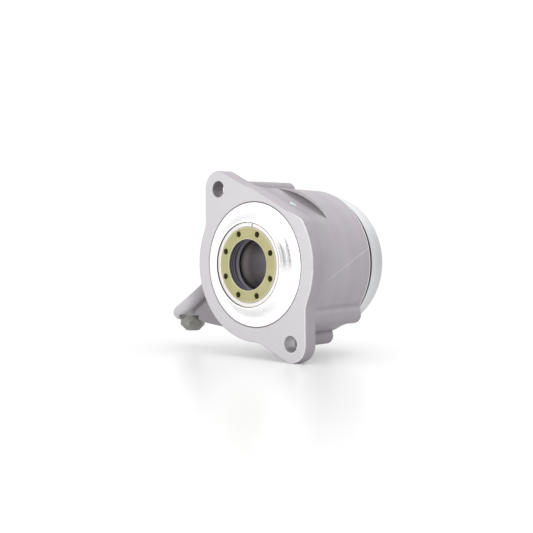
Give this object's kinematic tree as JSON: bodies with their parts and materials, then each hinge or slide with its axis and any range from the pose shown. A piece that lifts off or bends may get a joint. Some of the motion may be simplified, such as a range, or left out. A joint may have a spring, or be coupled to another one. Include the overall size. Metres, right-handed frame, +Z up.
{
  "type": "concentric slave cylinder",
  "caption": "Clutch release cylinder that sits round the gearbox input shaft, with a two-eared flange, a side port arm and a ball release bearing on an annular piston.",
  "frame": {"origin": "centre of the flange face on the cylinder axis", "axes": "+Y along the cylinder axis from the flange face to the release bearing, +Z up, the port arm towards -X and -Z"},
  "size_m": [0.1211, 0.0793, 0.1052],
  "materials": {
    "cast_aluminium": "satin cast and blasted",
    "turned_aluminium": "bright turned",
    "passivated_steel": "yellow passivated",
    "ring_steel": "bright stamped",
    "seal_case_steel": "phosphated",
    "seal_rubber": "smooth",
    "sleeve_steel": "ground, dark",
    "piston_aluminium": "anodised",
    "guide_plastic": "natural",
    "spring_steel": "oiled",
    "dust_plastic": "moulded black",
    "shell_steel": "drawn and zinc plated",
    "bearing_steel": "ground",
    "ball_steel": "polished",
    "cage_plastic": "moulded",
    "union_steel": "zinc nickel plated",
    "washer_aluminium": "soft",
    "plug_steel": "plain"
  },
  "bodies": {
    "housing": {"housing": "cast_aluminium", "end_cap": "turned_aluminium", "cap_seal_ring": "seal_rubber", "retainer_ring": "passivated_steel", "snap_ring": "ring_steel", "seal_case": "seal_case_steel", "shaft_seal": "seal_rubber", "garter_spring": "ring_steel", "guide_sleeve": "sleeve_steel", "sleeve_seal_ring": "seal_rubber", "travel_stop_ring": "ring_steel", "preload_spring": "spring_steel", "inlet_union": "union_steel", "union_washer": "washer_aluminium", "gallery_plug": "plug_steel"},
    "piston": {"piston": "piston_aluminium", "piston_seal": "seal_rubber", "seal_backing_ring": "guide_plastic", "piston_guide_ring": "guide_plastic", "sleeve_guide_ring": "guide_plastic", "dust_sleeve": "dust_plastic", "bearing_shell": "shell_steel", "bearing_fixed_ring": "bearing_steel", "bearing_shield": "seal_rubber"},
    "thrust_ring": {"bearing_thrust_ring": "bearing_steel"},
    "cage": {"bearing_balls": "ball_steel", "bearing_cage": "cage_plastic"}
  },
  "joints": [
    {"name": "piston_slide", "type": "slide", "parent": "housing", "child": "piston", "axis": [0, 1, 0], "range_m": [0, 0.01], "deforming": ["preload_spring"]},
    {"name": "bearing_spin", "type": "hinge", "parent": "piston", "child": "thrust_ring", "pos_m": [0, 0.0648, 0], "axis": [0, 1, 0], "continuous": true},
    {"name": "cage_spin", "type": "hinge", "parent": "piston", "child": "cage", "pos_m": [0, 0.0648, 0], "axis": [0, 1, 0], "continuous": true}
  ],
  "couplings": [
    {"joint": "cage_spin", "follows": "bearing_spin", "ratio": 0.4578}
  ]
}
